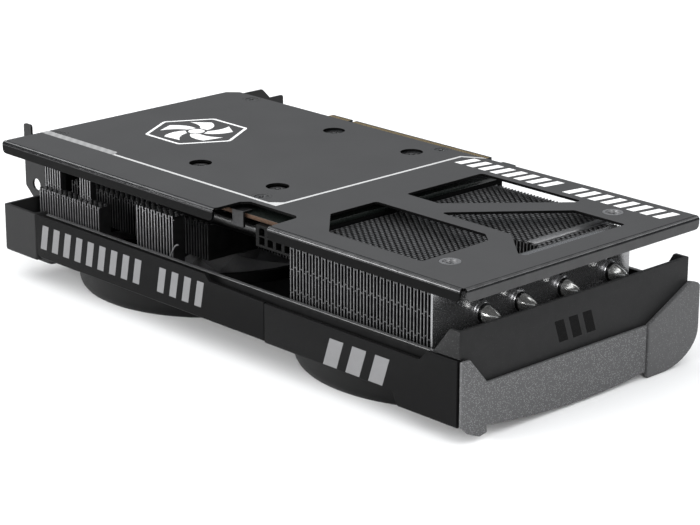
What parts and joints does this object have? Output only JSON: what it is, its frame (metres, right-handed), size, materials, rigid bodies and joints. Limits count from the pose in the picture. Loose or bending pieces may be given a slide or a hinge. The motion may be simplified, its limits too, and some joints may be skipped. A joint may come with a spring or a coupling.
{
  "type": "graphics card",
  "caption": "Double-slot graphics card with an open finned cooler, fan shroud, vented backplate, slot bracket and edge connector.",
  "frame": {"origin": "middle of the footprint, on the surface that the fan rings stand on", "axes": "+X from the bracket to the tail, +Y from the crest edge with the power socket to the slot edge, +Z from the fans to the backplate"},
  "size_m": [0.248, 0.1388, 0.052],
  "materials": {
    "backplate": "satin dark grey powder coat on bent sheet, black edges, pale printed line",
    "shroud": "fine matt black moulded plastic",
    "band": "charcoal satin moulded plastic",
    "trim": "mid grey plastic with fine metallic speckle",
    "fan": "satin dark grey moulded blades",
    "motor": "black moulded frame and wound core",
    "bracket": "satin black coated steel",
    "port": "nickel plated steel shells",
    "board": "black solder mask, bare laminate on the cut edges",
    "chip": "black moulding compound",
    "die": "polished silicon",
    "choke": "pressed grey powder",
    "connector": "black nylon",
    "nickel": "nickel plated copper, rough crimp at the tips",
    "fin": "thin stamped fins, black anodised with bright cut edges",
    "screw": "plated steel, darkened",
    "steel": "bright steel",
    "cable": "black sleeve"
  },
  "bodies": {
    "card": {"backplate": "backplate", "backplate_screw_1": "screw", "backplate_screw_2": "screw", "backplate_screw_3": "screw", "backplate_screw_4": "screw", "backplate_screw_5": "screw", "backplate_screw_6": "screw", "circuit_board": "board", "gpu_package": "chip", "gpu_die": "die", "memory_chip_1": "chip", "memory_chip_2": "chip", "memory_chip_3": "chip", "memory_chip_4": "chip", "memory_chip_5": "chip", "memory_chip_6": "chip", "choke_1": "choke", "choke_2": "choke", "choke_3": "choke", "choke_4": "choke", "power_connector": "connector", "connector_clip": "steel", "io_bracket": "bracket", "display_port_1": "port", "display_port_2": "port", "hdmi_port": "port", "display_port_3": "port", "bracket_screw_1": "screw", "bracket_screw_2": "screw", "cold_plate": "nickel", "heat_pipe_1": "nickel", "heat_pipe_2": "nickel", "heat_pipe_3": "nickel", "heat_pipe_4": "nickel", "fin_stack_bracket_end": "fin", "fin_block_crest_corner": "fin", "fin_block_crest_middle": "fin", "fin_stack_tail_end": "fin", "fin_end_plate": "fin", "retention_screw_1": "screw", "retention_screw_2": "screw", "retention_screw_3": "screw", "retention_screw_4": "screw", "fan_motor_bracket_end": "motor", "fan_motor_tail_end": "motor", "fan_cable_bracket_end": "cable", "fan_cable_tail_end": "cable", "fan_cable_plug": "connector", "shroud_tray": "shroud", "fan_ring_bracket_end": "shroud", "fan_ring_tail_end": "shroud", "side_band_bracket_end": "band", "side_band_tail_end": "band", "tail_wall": "band", "tail_trim": "trim", "tail_trim_slot_side": "trim"},
    "fan_bracket_end": {"fan_rotor_bracket_end": "fan", "fan_shaft_bracket_end": "steel"},
    "fan_tail_end": {"fan_rotor_tail_end": "fan", "fan_shaft_tail_end": "steel"}
  },
  "joints": [
    {"name": "fan_bracket_end_spin", "type": "hinge", "parent": "card", "child": "fan_bracket_end", "pos_m": [-0.05653, -0.01421, 0.008], "axis": [0, 0, 1], "continuous": true},
    {"name": "fan_tail_end_spin", "type": "hinge", "parent": "card", "child": "fan_tail_end", "pos_m": [0.06287, -0.01421, 0.008], "axis": [0, 0, 1], "continuous": true}
  ]
}
